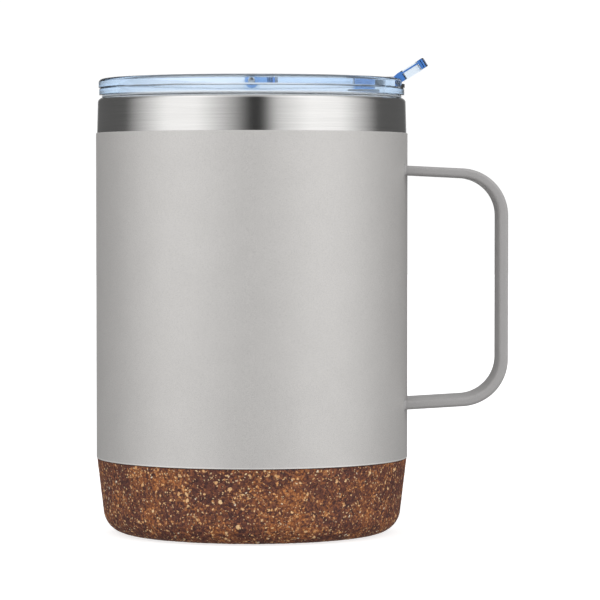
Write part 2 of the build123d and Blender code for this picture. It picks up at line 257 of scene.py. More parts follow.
class Nodes:
    """The node tree of a material, or of the world, with short ways to add and link nodes."""

    def __init__(self, name, world=False):
        self.owner = bpy.data.worlds.new(name) if world else bpy.data.materials.new(name)
        self.owner.use_nodes = True
        self.tree = self.owner.node_tree
        self.shader = self.tree.nodes["Background" if world else "Principled BSDF"]
        self.output = self.tree.nodes["World Output" if world else "Material Output"]

    def add(self, kind, **settings):
        node = self.tree.nodes.new(kind)
        for key, value in settings.items():
            setattr(node, key, value)
        return node

    def link(self, source, target):
        self.tree.links.new(source, target)

    def set(self, **values):
        """Plain values on the Principled sockets; underscores stand for spaces."""
        for key, value in values.items():
            self.shader.inputs[key.replace("_", " ")].default_value = value

    def place(self, scale=(1, 1, 1)):
        """Object coordinates in millimetres, stretched by scale."""
        coordinates = self.add("ShaderNodeTexCoord")
        mapping = self.add("ShaderNodeMapping")
        mapping.inputs["Scale"].default_value = [s / MM for s in scale]
        self.link(coordinates.outputs["Object"], mapping.inputs["Vector"])
        return mapping.outputs["Vector"]

    def round_place(self, around, up):
        """Coordinates wrapped round Z: millimetres of arc times around, and of height times up."""
        coordinates = self.add("ShaderNodeTexCoord")
        spot = self.split(coordinates.outputs["Object"], "ShaderNodeSeparateXYZ")
        # A circle of the noise's own size keeps the pattern seamless round the mug.
        angle = self.math("ARCTAN2", spot["Y"], spot["X"])
        reach = body_radius * around
        across = self.math("MULTIPLY", self.math("COSINE", angle), reach)
        along = self.math("MULTIPLY", self.math("SINE", angle), reach)
        height = self.math("MULTIPLY", spot["Z"], up / MM)
        joined = self.add("ShaderNodeCombineXYZ")
        self.link(across, joined.inputs["X"])
        self.link(along, joined.inputs["Y"])
        self.link(height, joined.inputs["Z"])
        return joined.outputs[0]

    def feed(self, sockets, values):
        """Sets each socket to its number, or links it to its source."""
        for socket, value in zip(sockets, values):
            if isinstance(value, (int, float)):
                socket.default_value = value
            else:
                self.link(value, socket)

    def math(self, operation, *values):
        node = self.add("ShaderNodeMath", operation=operation)
        self.feed(node.inputs, values)
        return node.outputs[0]

    def noise(self, vector, scale, detail=2.0, roughness=0.5):
        node = self.add("ShaderNodeTexNoise")
        node.inputs["Scale"].default_value = scale
        node.inputs["Detail"].default_value = detail
        node.inputs["Roughness"].default_value = roughness
        self.link(vector, node.inputs["Vector"])
        return node

    def cells(self, vector, scale):
        node = self.add("ShaderNodeTexVoronoi")
        node.inputs["Scale"].default_value = scale
        self.link(vector, node.inputs["Vector"])
        return node

    def ramp(self, value, stops):
        node = self.add("ShaderNodeValToRGB")
        elements = node.color_ramp.elements
        while len(elements) < len(stops):
            elements.new(0.5)
        for element, (position, colour) in zip(elements, stops):
            element.position = position
            element.color = (*colour, 1)
        self.link(value, node.inputs["Fac"])
        return node.outputs["Color"]

    def mix(self, factor, first, second, blend="MIX"):
        node = self.add("ShaderNodeMix", data_type="RGBA", blend_type=blend)
        sockets = (node.inputs[0], node.inputs[6], node.inputs[7])
        self.feed(sockets, (factor, first, second))
        return node.outputs[2]

    def blend(self, first, share, second):
        """That share of the first value, and the rest of the second."""
        part = self.math("MULTIPLY", first, share)
        return self.math("ADD", part, self.math("MULTIPLY", second, 1 - share))

    def split(self, source, kind="ShaderNodeSeparateColor"):
        node = self.add(kind)
        self.link(source, node.inputs[0])
        return node.outputs

    def map(self, value, low, high):
        """value from 0..1 to low..high."""
        node = self.add("ShaderNodeMapRange")
        node.inputs["To Min"].default_value = low
        node.inputs["To Max"].default_value = high
        self.link(value, node.inputs["Value"])
        return node.outputs[0]

    def bump(self, height, distance_mm, strength, after=None):
        node = self.add("ShaderNodeBump")
        node.inputs["Distance"].default_value = distance_mm * MM
        node.inputs["Strength"].default_value = strength
        self.link(height, node.inputs["Height"])
        if after is not None:
            self.link(after, node.inputs["Normal"])
        return node.outputs[0]

    def use(self, **links):
        for key, socket in links.items():
            self.link(socket, self.shader.inputs[key.replace("_", " ")])


def grey(level):
    return (level, level, level)


def powder_coat_material(name, tone, tooth, metallic):
    """Matt thermoset powder: soft orange peel with fine grains on it."""
    nodes = Nodes(name)
    spot = nodes.place()
    peel = nodes.noise(spot, 0.9, 2.0).outputs["Fac"]
    grain = nodes.noise(spot, 5.5, 3.0, 0.6).outputs["Fac"]
    mottle = nodes.noise(spot, 0.12, 3.0).outputs["Fac"]
    light = tuple(c * 1.015 for c in tone)
    dark = tuple(c * 0.985 for c in tone)
    colour = nodes.ramp(mottle, [(0.3, dark), (0.7, light)])
    flecks = nodes.ramp(grain, [(0.34, grey(0.86)), (0.5, grey(1.0)), (0.68, grey(1.07))])
    # A painted highlight: the colour is made lighter in a band along the coat's lower edge,
    # standing in for light caught there.
    height = nodes.split(spot, "ShaderNodeSeparateXYZ")["Z"]
    above = nodes.math("SUBTRACT", height, coat_bottom)
    painted_edge_highlight = nodes.ramp(above, [(0.3, grey(1.25)), (0.55, grey(1.0))])
    nodes.use(
        Base_Color=nodes.mix(1.0, nodes.mix(1.0, colour, painted_edge_highlight, "MULTIPLY"), flecks, "MULTIPLY"),
        Roughness=nodes.map(grain, 0.50, 0.62),
        Normal=nodes.bump(grain, tooth, 0.5, nodes.bump(peel, 0.02, 0.4)),
    )
    nodes.set(Metallic=metallic, Specular_IOR_Level=0.2)
    return nodes.owner


def brushed_steel_material(name, tone=0.60, shine=(0.16, 0.28), lines=0.006):
    """Stainless steel brushed round the body: long fine lines, and a few deeper ones."""
    nodes = Nodes(name)
    fine = nodes.noise(nodes.round_place(0.05, 9.0), 1.0, 4.0, 0.65).outputs["Fac"]
    broad = nodes.noise(nodes.round_place(0.02, 1.4), 1.0, 3.0).outputs["Fac"]
    smudge = nodes.noise(nodes.place(), 0.09, 3.0).outputs["Fac"]
    streaks = nodes.blend(fine, 0.7, broad)
    warm = (tone * 1.01, tone, tone * 0.985)
    nodes.use(
        Base_Color=nodes.ramp(
            streaks, [(0.3, tuple(c * 0.9 for c in warm)), (0.7, tuple(c * 1.08 for c in warm))]
        ),
        Roughness=nodes.map(nodes.blend(streaks, 0.6, smudge), *shine),
        Normal=nodes.bump(fine, lines, 0.35),
    )
    nodes.set(Metallic=1.0, Anisotropic=0.6, Anisotropic_Rotation=0.25)
    tangent = nodes.add("ShaderNodeTangent", direction_type="RADIAL", axis="Z")
    nodes.link(tangent.outputs[0], nodes.shader.inputs["Tangent"])
    return nodes.owner


def cork_material():
    """Dark pressed cork: brown granules, a mist of orange crumbs, and tan and cream chips."""
    nodes = Nodes("cork")
    spot = nodes.place()
    bend = nodes.noise(spot, 1.1, 3.0)
    warped = nodes.add("ShaderNodeVectorMath", operation="MULTIPLY_ADD")
    nodes.link(bend.outputs["Color"], warped.inputs[0])
    warped.inputs[1].default_value = (1.3, 1.3, 1.3)
    nodes.link(spot, warped.inputs[2])
    place = warped.outputs[0]

    base = nodes.cells(place, 1.7)
    tone = nodes.split(base.outputs["Color"])
    clouds = nodes.noise(spot, 0.14, 3.0, 0.55).outputs["Fac"]
    crumbs = nodes.noise(spot, 1.5, 3.0, 0.6).outputs["Fac"]
    mist = nodes.blend(clouds, 0.45, crumbs)
    browns = nodes.ramp(
        tone["Red"],
        [
            (0.0, (0.062, 0.026, 0.024)),
            (0.45, (0.115, 0.042, 0.032)),
            (0.85, (0.18, 0.064, 0.040)),
            (1.0, (0.34, 0.12, 0.055)),
        ],
    )
    rust = nodes.ramp(
        tone["Green"],
        [(0.0, (0.20, 0.065, 0.026)), (0.5, (0.42, 0.14, 0.042)), (1.0, (0.80, 0.33, 0.11))],
    )
    cloud_share = nodes.ramp(mist, [(0.49, grey(0.0)), (0.62, grey(0.9))])
    ground = nodes.mix(cloud_share, browns, rust)

    colour = ground
    height = nodes.math("MULTIPLY", base.outputs["Distance"], -0.5)
    chips = (
        # cells per mm, share of cells without a chip, reach of a chip, dark tone, light tone
        (0.60, 0.87, 0.34, (0.78, 0.36, 0.13), (1.0, 0.68, 0.36)),
        (1.0, 0.83, 0.38, (0.66, 0.26, 0.080), (1.0, 0.62, 0.29)),
        (1.8, 0.80, 0.42, (0.66, 0.28, 0.100), (1.0, 0.74, 0.42)),
        (0.95, 0.94, 0.30, (0.86, 0.56, 0.30), (1.0, 0.90, 0.70)),
    )
    for i, (scale, rarity, reach, dark, light) in enumerate(chips):
        shift = nodes.add("ShaderNodeVectorMath", operation="ADD")
        nodes.link(place, shift.inputs[0])
        shift.inputs[1].default_value = (37.1 * (i + 1), 11.3 * (i + 1), 5.7 * (i + 1))
        cell = nodes.cells(shift.outputs[0], scale)
        draw = nodes.split(cell.outputs["Color"])
        chosen = nodes.math("GREATER_THAN", draw["Blue"], rarity)
        near = nodes.ramp(cell.outputs["Distance"], [(reach * 0.72, grey(1.0)), (reach, grey(0.0))])
        inside = nodes.math("MULTIPLY", chosen, near)
        tint = nodes.ramp(draw["Red"], [(0.0, dark), (1.0, light)])
        colour = nodes.mix(inside, colour, tint)
        height = nodes.math("ADD", height, nodes.math("MULTIPLY", inside, 0.6))
    speck = nodes.noise(spot, 4.5, 2.0, 0.7).outputs["Fac"]
    flecks = nodes.ramp(speck, [(0.35, grey(0.72)), (0.55, grey(1.05)), (0.72, grey(1.4))])
    colour = nodes.mix(1.0, colour, flecks, "MULTIPLY")
    nodes.use(
        Base_Color=colour,
        Roughness=nodes.map(tone["Blue"], 0.62, 0.88),
        Normal=nodes.bump(height, 0.12, 0.7, nodes.bump(speck, 0.05, 0.5)),
    )
    nodes.set(Specular_IOR_Level=0.3)
    return nodes.owner


def clear_plastic_material(name, density):
    """Clear moulded plastic that turns blue with depth, with faint flow marks and fine scuffs."""
    nodes = Nodes(name)
    spot = nodes.place()
    flow = nodes.noise(spot, 0.05, 2.0).outputs["Fac"]
    scuff = nodes.noise(nodes.place((1, 1, 0.3)), 2.2, 4.0, 0.7).outputs["Fac"]
    nodes.set(Base_Color=(1, 1, 1, 1), Transmission_Weight=1.0, IOR=1.5)
    nodes.use(
        Roughness=nodes.ramp(scuff, [(0.45, grey(0.0)), (0.75, grey(0.05))]),
        Normal=nodes.bump(flow, 0.25, 0.25),
    )
    depth = nodes.add("ShaderNodeVolumeAbsorption")
    depth.inputs["Color"].default_value = (0.15, 0.48, 0.80, 1)
    depth.inputs["Density"].default_value = density
    nodes.link(depth.outputs[0], nodes.output.inputs["Volume"])
    return nodes.owner


def silicone_material():
    """Translucent silicone, slightly dusty."""
    nodes = Nodes("silicone")
    dust = nodes.noise(nodes.place(), 1.6, 3.0).outputs["Fac"]
    nodes.use(
        Base_Color=nodes.ramp(dust, [(0.3, (0.86, 0.90, 0.94)), (0.7, (0.95, 0.97, 0.98))]),
        Roughness=nodes.map(dust, 0.32, 0.5),
    )
    nodes.set(Transmission_Weight=0.45, IOR=1.41)
    return nodes.owner


def plain_material(name, tone, metallic, roughness, scale, relief):
    """A hidden piece's finish: its own tone with grain and a little relief."""
    nodes = Nodes(name)
    grain = nodes.noise(nodes.place(), scale, 3.0).outputs["Fac"]
    nodes.use(
        Base_Color=nodes.ramp(
            grain,
            [(0.3, tuple(c * 0.85 for c in tone)), (0.7, tuple(min(c * 1.1, 1) for c in tone))],
        ),
        Roughness=nodes.map(grain, roughness * 0.8, min(roughness * 1.2, 1)),
        Normal=nodes.bump(grain, relief, 0.6),
    )
    nodes.set(Metallic=metallic)
    return nodes.owner


coat_paint = powder_coat_material("coat_paint", (0.66, 0.645, 0.63), 0.03, 0.52)
# The handle's paint is the coat's powder in a darker tone: painted shade, darkened as if the handle
# stood in shadow.
shaded_strap_paint = powder_coat_material("shaded_strap_paint", (0.46, 0.45, 0.448), 0.08, 0.15)
band_steel = brushed_steel_material("band_steel")
liner_steel = brushed_steel_material("liner_steel", 0.6, (0.26, 0.4), 0.004)
pin_steel = brushed_steel_material("pin_steel", 0.7, (0.12, 0.2), 0.002)
cork = cork_material()
lid_plastic = clear_plastic_material("lid_plastic", 55.0)
tab_plastic = clear_plastic_material("tab_plastic", 170.0)
silicone = silicone_material()
hidden = {
    "shell_bottom": liner_steel,
    "vacuum_seal": plain_material("solder_glass", (0.08, 0.08, 0.075), 0.0, 0.2, 1.5, 0.02),
    "getter_capsule": plain_material("getter_can", (0.45, 0.44, 0.42), 1.0, 0.4, 2.0, 0.02),
    "radiation_foil": plain_material("bright_foil", (0.8, 0.8, 0.81), 1.0, 0.18, 0.35, 0.15),
    "base_adhesive": plain_material("cured_glue", (0.6, 0.53, 0.4), 0.0, 0.35, 0.8, 0.05),
}


def dress(piece, material):
    piece.data.materials.clear()
    piece.data.materials.append(material)


def mount(piece, material, body, slot, *nodes):
    """Gives a piece its material and body, and has it stand for those CAD nodes. The slot is not
    used.
    """
    dress(piece, material)
    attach(piece, body)
    if nodes:
        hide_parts(*nodes)


for node_name, material in hidden.items():
    dress(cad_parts[node_name], material)


# --- Mug body -------------------------------------------------------------------------------------

SHELL_WALL = 0.6
OUTER_LIP = 1.3
WELD_RADIUS = 41.0
BAND_TOP = 42.45
BAND_FOOT = 0.4  # the band starts to lean in this far below the coat's edge
NECK = (40.0, 38.5, 5.0)  # radius at the top, at the foot, and its corner
FOOT_HOLE = 28.0


def make_shell():
    neck_top, neck_foot, corner = NECK
    foot = shell_low.z
    outline = rounded(
        [
            (FOOT_HOLE, foot),
            (neck_foot, foot),
            (neck_top, coat_bottom),
            (shell_radius, coat_bottom),
            (shell_radius, coat_top - BAND_FOOT),
            (BAND_TOP, rim_top),
            (WELD_RADIUS, rim_top),
            (WELD_RADIUS, rim_top - SHELL_WALL),
            (BAND_TOP - SHELL_WALL, rim_top - SHELL_WALL),
            (shell_radius - SHELL_WALL, coat_top - BAND_FOOT),
            (shell_radius - SHELL_WALL, coat_bottom + SHELL_WALL),
            (neck_top - SHELL_WALL, coat_bottom + SHELL_WALL),
            (neck_foot - SHELL_WALL, foot + SHELL_WALL),
            (FOOT_HOLE, foot + SHELL_WALL),
        ],
        [
            *(0, corner, 0.3, 0.4, 6, OUTER_LIP, 0),
            *(0, OUTER_LIP - SHELL_WALL, 0, 0, 0, corner - SHELL_WALL, 0),
        ],
        12,
    )
    mount(lathe("steel_shell", outline), band_steel, "mug", "brushed_steel", "outer_shell")


LINER_WALL = 0.45
CUP_RADIUS = 39.6
CUP_CORNER = 17.6
INNER_LIP = 1.2


def make_liner():
    low = liner_low.z
    floor = low + LINER_WALL
    wall = CUP_RADIUS + LINER_WALL
    outline = rounded(
        [
            (0, floor),
            (CUP_RADIUS, floor),
            (CUP_RADIUS, rim_top),
            (WELD_RADIUS, rim_top),
            (WELD_RADIUS, rim_top - LINER_WALL),
            (wall, rim_top - LINER_WALL),
            (wall, low),
            (0, low),
        ],
        [0, CUP_CORNER, INNER_LIP, 0, 0, INNER_LIP - LINER_WALL, CUP_CORNER + LINER_WALL, 0],
        20,
    )
    mount(lathe("drinking_vessel", outline), liner_steel, "mug", "liner_steel", "inner_liner")


COAT_EDGE = 0.14


def make_coat():
    """The coat's skin, with soft edges where it was masked off."""
    outline = rounded(
        [
            (shell_radius, coat_bottom),
            (body_radius, coat_bottom),
            (body_radius, coat_top),
            (shell_radius, coat_top),
        ],
        [0, COAT_EDGE, COAT_EDGE * 1.4, 0],
        6,
    )
    mount(lathe("coat_skin", outline), coat_paint, "mug", "powder_coat", "powder_coat")


CORK_FOOT = 40.35
CORK_CORNER = 6.5
CORK_GAP = 0.15
CORK_FLOOR = 3.7
CORK_STEP = 0.45  # mesh size of the visible cork
CORK_RELIEF = 0.085
CORK_FLAT = 0.02  # the foot below this height stays flat


def make_cork():
    """Pressed cork with real pits and granules on every visible face."""
    neck_top, neck_foot, corner = NECK
    top = cork_high.z
    outer = rounded(
        [(0, 0), (CORK_FOOT, 0), (cork_high.x, top), (neck_top + CORK_GAP, top)],
        [0, CORK_CORNER, 0.2, 0],
        14,
        closed=False,
    )
    fine = [outer[0]]
    for start, end in zip(outer, outer[1:]):
        span = (Vector(end) - Vector(start)).length
        first_ring = start[0] < 1e-6
        pieces = 24 if first_ring else max(1, round(span / CORK_STEP))
        fine += [
            tuple(Vector(start).lerp(Vector(end), (k + 1) / pieces)) for k in range(pieces)
        ]
    inner = rounded(
        [(neck_top + CORK_GAP, top), (neck_foot + CORK_GAP, CORK_FLOOR), (0, CORK_FLOOR)],
        [0, corner, 0],
        10,
        closed=False,
    )
    segments = round(TAU * body_radius / CORK_STEP)
    piece = lathe("cork_boot", fine + inner[1:], segments)
    inside = neck_top + CORK_GAP
    mesh = piece.data
    normals = [v.normal.copy() for v in mesh.vertices]
    for vertex, normal in zip(mesh.vertices, normals):
        spot = vertex.co / MM
        radius = math.hypot(spot.x, spot.y)
        if spot.z < CORK_FLAT or radius < 1:
            continue
        inward = normal.x * spot.x + normal.y * spot.y < 0
        if inward and radius < inside + 0.2 and normal.z > -0.5:
            continue
        bulk = noise.noise(spot * 0.55) * 0.5
        grain = noise.noise(spot * 1.7 + Vector((9, 4, 2))) * 0.6
        pits = min(0.0, noise.noise(spot * 2.9 + Vector((3, 8, 5))) + 0.28) * 1.6
        vertex.co += normal * (bulk + grain + pits) * CORK_RELIEF * MM
    mesh.update()
    mount(piece, cork, "mug", "cork", "cork_base")


# --- Handle ---------------------------------------------------------------------------------------

STRAP_THICKNESS = 2.6
STRAP_EDGE = 0.9
STRAP_BEND = 11.7
STRAP_ROOTS = (99.93, 35.35)  # centreline heights where it starts, inside the shell
STRAP_CORNERS = (98.5, 37.1)
STRAP_START = 40.0


def strap_route():
    """Centreline points from the top root to the bottom root, as (x, z)."""
    reach = strap_high.x - STRAP_THICKNESS / 2
    corners = [
        (STRAP_START, STRAP_ROOTS[0]),
        (reach, STRAP_CORNERS[0]),
        (reach, STRAP_CORNERS[1]),
        (STRAP_START, STRAP_ROOTS[1]),
    ]
    bent = rounded(corners, [0, STRAP_BEND, STRAP_BEND, 0], 28, closed=False)
    route = [bent[0]]
    for start, end in zip(bent, bent[1:]):
        span = (Vector(end) - Vector(start)).length
        count = max(1, round(span / 1.5))
        route += [tuple(Vector(start).lerp(Vector(end), (k + 1) / count)) for k in range(count)]
    return route


def strap_section(grow=0.0, steps=8):
    """The strap's rounded section as (across, through), grown by that much."""
    half_width = strap_high.y + grow
    half_thickness = STRAP_THICKNESS / 2 + grow
    corners = [
        (half_width, half_thickness),
        (-half_width, half_thickness),
        (-half_width, -half_thickness),
        (half_width, -half_thickness),
    ]
    return rounded(corners, [STRAP_EDGE + grow] * 4, steps)


def make_strap():
    route = strap_route()
    section = strap_section()
    made = bmesh.new()
    rings = []
    for i, (x, z) in enumerate(route):
        before = Vector(route[max(i - 1, 0)])
        after = Vector(route[min(i + 1, len(route) - 1)])
        way = (after - before).normalized()
        out = Vector((-way.y, way.x))
        ring = []
        for across, through in section:
            px, pz = x + out.x * through, z + out.y * through
            wall = math.sqrt(shell_radius**2 - across**2)
            if px < wall:
                pz += (wall - px) * way.y / way.x
                px = wall
            ring.append(made.verts.new((px * MM, across * MM, pz * MM)))
        rings.append(ring)
    bridge(made, rings)
    bmesh.ops.remove_doubles(made, verts=made.verts, dist=1e-6)
    bmesh.ops.dissolve_degenerate(made, dist=1e-6, edges=made.edges)
    piece = finish_mesh("strap_handle", made, 50)
    mount(piece, shaded_strap_paint, "mug", "coated_steel", "handle")


# The bead's section as (out along the wall, up the strap), in legs of the bead.
BEAD_PROFILE = (
    *((1.0, -0.3), (1.0, 0.0), (0.62, 0.07), (0.34, 0.24)),
    *((0.13, 0.5), (0.0, 0.95), (-0.08, 0.95), (-0.08, -0.3)),
)


def make_beads():
    """A weld bead round each strap end: a hollow fillet with a slight ripple, under the paint."""
    leg = (bead_high.y - strap_high.y) * 0.95
    reach = strap_high.x - STRAP_THICKNESS / 2
    for name, root, corner in (
        ("upper_weld", STRAP_ROOTS[0], STRAP_CORNERS[0]),
        ("lower_weld", STRAP_ROOTS[1], STRAP_CORNERS[1]),
    ):
        slope = (corner - root) / (reach - STRAP_START)
        made = bmesh.new()
        rings = []
        for grow, lift in BEAD_PROFILE:
            section = strap_section(leg * grow, 10)
            count = len(section)
            ring = []
            for k, (across, through) in enumerate(section):
                ripple = 1 + 0.14 * math.sin(TAU * k * 9 / count) * (lift > 0)
                radius = body_radius + lift * leg * ripple
                x = math.sqrt(radius**2 - across**2)
                z = root + slope * (x - STRAP_START) + through
                ring.append(made.verts.new((x * MM, across * MM, z * MM)))
            rings.append(ring)
        bridge(made, rings, closed=True)
        piece = finish_mesh(name, made, 40)
        mount(piece, shaded_strap_paint, "mug", "coated_steel", "handle_welds")


# --- Lid ------------------------------------------------------------------------------------------

LID_TOP = 125.0
FLANGE_LOW = 42.15
FLANGE_GROOVE = (41.9, 122.3)
GROOVE_HALF = 0.2
FLANGE_BOTTOM = 120.4
RIM_INNER = 37.0
RIM_FOOT = 36.8
DECK = (117.6, 119.6)
SKIRT = (36.6, 38.4)
BEAD = (38.9, 113.8)
NOTCH_HALF = 9.9
NOTCH_START = 34.0
NOTCH_FLOOR = 122.6
NOTCH_OUTER_FLOOR = 123.5
NOTCH_STEP = 40.3
EAR_THICKNESS = 2.0
EAR_RADIUS = 2.2
SIP_SIZE = (12.0, 7.0)
VENT_PLACE = -25.0
VENT_RADIUS = 1.1
LID_BEVEL = 0.18


def circle(radius, centre=(0, 0), steps=40):
    turns = [TAU * k / steps for k in range(steps)]
    u, v = centre
    return [(u + radius * math.cos(turn), v + radius * math.sin(turn)) for turn in turns]


def make_lid():
    flange = lid_high.x
    bottom = lid_low.z
    groove_radius, groove = FLANGE_GROOVE
    deck_bottom, deck_top = DECK
    skirt_inner, skirt_outer = SKIRT
    bead_radius, bead_top = BEAD
    outline = rounded(
        [
            (0, deck_top),
            (RIM_FOOT, deck_top),
            (RIM_INNER, LID_TOP),
            (flange, LID_TOP),
            (flange, groove + GROOVE_HALF),
            (groove_radius, groove),
            (FLANGE_LOW, groove - GROOVE_HALF),
            (FLANGE_LOW, FLANGE_BOTTOM),
            (skirt_outer, FLANGE_BOTTOM),
            (skirt_outer, bead_top),
            (bead_radius, bead_top - 0.2),
            (bead_radius, bottom + 0.5),
            (skirt_outer, bottom),
            (skirt_inner, bottom),
            (skirt_inner, deck_bottom),
            (0, deck_bottom),
        ],
        [0, 0.5, 0.8, 1.1, 0.15, 0.05, 0.15, 0.3, 0.15, 0, 0.1, 0.2, 0.3, 0.4, 0.8, 0],
        8,
    )
    piece = lathe("lid", outline, 256)
    notch = [
        (NOTCH_START, NOTCH_FLOOR),
        (NOTCH_STEP, NOTCH_FLOOR),
        (NOTCH_STEP + 1, NOTCH_OUTER_FLOOR),
        (flange + 1, NOTCH_OUTER_FLOOR),
        (flange + 1, LID_TOP + 1),
        (NOTCH_START, LID_TOP + 1),
    ]
    middle = (deck_bottom + deck_top) / 2
    sip = Vector(((plug_low.x + plug_high.x) / 2, 0, middle))
    vent = Vector((VENT_PLACE, 0, middle))
    cuts = [
        prism("notch", notch, SIDE, 2 * NOTCH_HALF),
        prism("sip_hole", slot_outline(*SIP_SIZE), (sip, X, Y), 6),
        prism("vent", circle(VENT_RADIUS), (vent, X, Y), 6),
    ]
    combine(piece, cuts)
    ears = []
    ear_outer = pin_high.y
    ear_foot = deck_top - 0.4
    ear_top = circle(EAR_RADIUS, (0, pin_height), 48)[:25]
    ear_shape = [(-EAR_RADIUS, ear_foot), (EAR_RADIUS, ear_foot), *ear_top]
    for side in (-1, 1):
        place = Vector((0, side * (ear_outer - EAR_THICKNESS / 2), 0))
        ears.append(prism("ear", ear_shape, (place, X, Z), EAR_THICKNESS))
    combine(piece, ears, "UNION")
    bore = prism("bore", circle(pin_radius, (0, pin_height)), SIDE, 4 * ear_outer)
    combine(piece, [bore])
    soften(piece, LID_BEVEL)
    mount(piece, lid_plastic, "lid", "clear_plastic", "lid_body")


def make_pin():
    half = pin_high.y
    outline = rounded(
        [(0, half), (pin_radius, half), (pin_radius, -half), (0, -half)], [0, 0.25, 0.25, 0], 5
    )
    piece = lathe("tab_pin", outline, 48)
    piece.data.transform(
        Matrix.Translation((0, 0, pin_height * MM)) @ Matrix.Rotation(math.pi / 2, 4, "X")
    )
    mount(piece, pin_steel, "lid", "pin_steel", "hinge_pin")


RING_BAND = 0.45
FINS = (115.1, 116.8, 118.5)
FIN_REACH = 39.35
FIN_ROOT = 0.42  # half a fin's height at the band
FIN_TIP = (0.05, 0.28)  # below and above its middle
RING_CLEARANCE = 0.1
RIM_CLEARANCE = 0.12


def make_ring():
    """Silicone ring: band, three wiping fins with round lips, and the lip over the rim."""
    inner = SKIRT[1] + RING_CLEARANCE
    band = inner + RING_BAND
    points = [(inner, ring_low.z), (band, ring_low.z)]
    radii = [0.1, 0.15]
    for fin in FINS:
        points += [(band, fin - FIN_ROOT), (FIN_REACH, fin - FIN_TIP[0])]
        points += [(FIN_REACH, fin + FIN_TIP[1]), (band, fin + FIN_ROOT)]
        radii += [0.05, 0.12, 0.12, 0.05]
    lip_bottom = rim_top + RIM_CLEARANCE
    points += [(band, lip_bottom), (ring_high.x, lip_bottom)]
    points += [(ring_high.x, ring_high.z), (inner, ring_high.z)]
    radii += [0.1, 0.14, 0.1, 0.05]
    piece = lathe("sealing_ring", rounded(points, radii, 4))
    mount(piece, silicone, "seal_ring", "silicone", "lid_gasket")


# --- Flip tab -------------------------------------------------------------------------------------

TAB_BOTTOM = 123.0
TAB_TOP = 125.4
TAB_WEB = 1.0
TAB_RAIL = 1.0
TONGUE = 4.4
ROOT_HALF = 7.6
BARREL_RADIUS = 1.85
BARREL_HALF = 4.45
PIN_PLAY = 0.05
HOLLOW_END = 40.4
PADDLE_START = 39.7
PADDLE_SLOPE = math.radians(32)
PADDLE_THICKNESS = 2.7
PADDLE_LENGTH = 10.7
PADDLE_BEND = 3.0
END_BULGE = 1.1
TOP_DISH = 0.4
LOW_DISH = 1.85
END_WALL = 1.3
BOSS = (11.0, 6.0)
BOSS_BOTTOM = 121.6
STUD = (8.0, 2.6, 2.1)
TAB_BEVEL = 0.16


